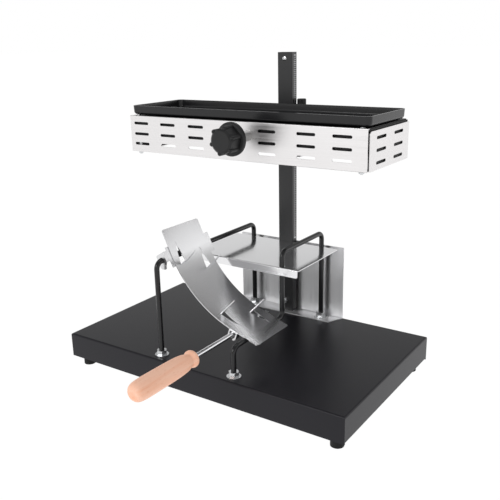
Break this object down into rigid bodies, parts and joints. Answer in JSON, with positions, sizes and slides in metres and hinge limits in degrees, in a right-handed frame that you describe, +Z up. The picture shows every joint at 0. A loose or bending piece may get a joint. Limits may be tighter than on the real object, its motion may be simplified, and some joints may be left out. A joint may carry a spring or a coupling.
{
  "type": "raclette grill",
  "caption": "Table raclette grill: height-adjustable overhead heater with grill tray on a toothed column, and a tilting spiked cradle for half a cheese wheel on rod rails.",
  "frame": {"origin": "centre of the base at the level of the rubber feet's undersides", "axes": "+X to the right along the long side of the base, -Y towards the user and the wooden handle, +Z up along the column"},
  "size_m": [0.5, 0.4618, 0.4923],
  "materials": {
    "base_black": "satin black paint",
    "foot_rubber": "matt black rubber",
    "zinc": "bright zinc plating",
    "column_steel": "dark satin coating",
    "rack_steel": "machined steel",
    "black_plastic": "matt black plastic",
    "stainless": "bright stainless sheet",
    "plate_steel": "satin stainless sheet",
    "shelf_steel": "smooth stainless sheet",
    "rail_black": "gloss black coating",
    "chrome_bright": "polished chrome",
    "beech": "pale oiled beech",
    "brushed": "brushed along the panel",
    "hood_black": "matt heat-proof black",
    "reflector_bright": "bright rolled sheet",
    "element_tube": "oxidised sheath tube",
    "white_ceramic": "matt steatite",
    "carriage_alu": "dark anodised",
    "sleeve_steel": "turned steel",
    "knob_black": "satin black phenolic",
    "pinion_brass": "machined brass",
    "tray_grey": "dark grey non-stick coating"
  },
  "bodies": {
    "base": {"base_cover": "base_black", "rubber_feet": "foot_rubber", "foot_studs": "zinc", "foot_nuts": "zinc", "column": "column_steel", "column_rack": "rack_steel", "column_cap": "black_plastic", "column_stop_screw": "zinc", "column_foot_block": "rack_steel", "column_foot_screw": "zinc", "column_bolts": "zinc", "column_bolt_nuts": "zinc", "column_spacers": "zinc", "back_plate": "plate_steel", "shelf": "shelf_steel", "shelf_screws": "zinc", "left_rail": "rail_black", "right_rail": "rail_black", "rail_nuts": "zinc", "rail_washers": "zinc", "rail_lower_nuts": "zinc", "rail_lower_washers": "zinc"},
    "glide": {"rail_sleeve": "black_plastic"},
    "cradle": {"cheese_cradle": "stainless", "rail_saddle": "stainless", "rod_saddles": "stainless", "handle_rod": "chrome_bright", "rod_nut": "zinc", "wooden_handle": "beech"},
    "heater": {"heater_front_panel": "brushed", "heater_rear_panel": "brushed", "heater_left_panel": "brushed", "heater_right_panel": "brushed", "heater_top_plate": "hood_black", "heater_hood": "hood_black", "hood_end_plates": "hood_black", "reflector": "reflector_bright", "heating_elements": "element_tube", "element_bushes": "white_ceramic", "element_clips": "rack_steel", "clip_rivets": "zinc", "side_spacers": "zinc", "housing_studs": "zinc", "housing_nuts": "zinc", "terminal_block": "white_ceramic", "cord_gland": "black_plastic", "gland_nut": "black_plastic", "column_carriage": "carriage_alu", "carriage_screws": "zinc", "shaft_sleeve": "sleeve_steel", "lock_pad": "black_plastic"},
    "height_drive": {"height_knob": "knob_black", "height_shaft": "rack_steel", "drive_pinion": "pinion_brass", "shaft_clip": "rack_steel"},
    "lock": {"lock_knob": "knob_black", "lock_screw": "zinc"},
    "tray": {"grill_tray": "tray_grey"}
  },
  "joints": [
    {"name": "heater_height", "type": "slide", "parent": "base", "child": "heater", "axis": [0, 0, 1], "range_m": [-0.07, 0.08]},
    {"name": "height_turn", "type": "hinge", "parent": "heater", "child": "height_drive", "pos_m": [0.0199, 0, 0.3789], "axis": [0, -1, 0], "range_deg": [-540, 615]},
    {"name": "lock_turn", "type": "hinge", "parent": "heater", "child": "lock", "pos_m": [0.0212, 0.142, 0.4], "axis": [0, 0, 1], "range_deg": [0, 360]},
    {"name": "tray_lift", "type": "slide", "parent": "heater", "child": "tray", "axis": [0, 0, 1], "range_m": [0, 0.06]},
    {"name": "cradle_slide", "type": "slide", "parent": "base", "child": "glide", "axis": [0, 1, 0], "range_m": [0, 0.007]},
    {"name": "cradle_tilt", "type": "hinge", "parent": "glide", "child": "cradle", "pos_m": [-0.068, -0.062, 0.2025], "axis": [0, -1, 0], "range_deg": [0, 44]}
  ],
  "couplings": [
    {"joint": "height_turn", "follows": "heater_height", "rad_per_m": 133.33}
  ]
}
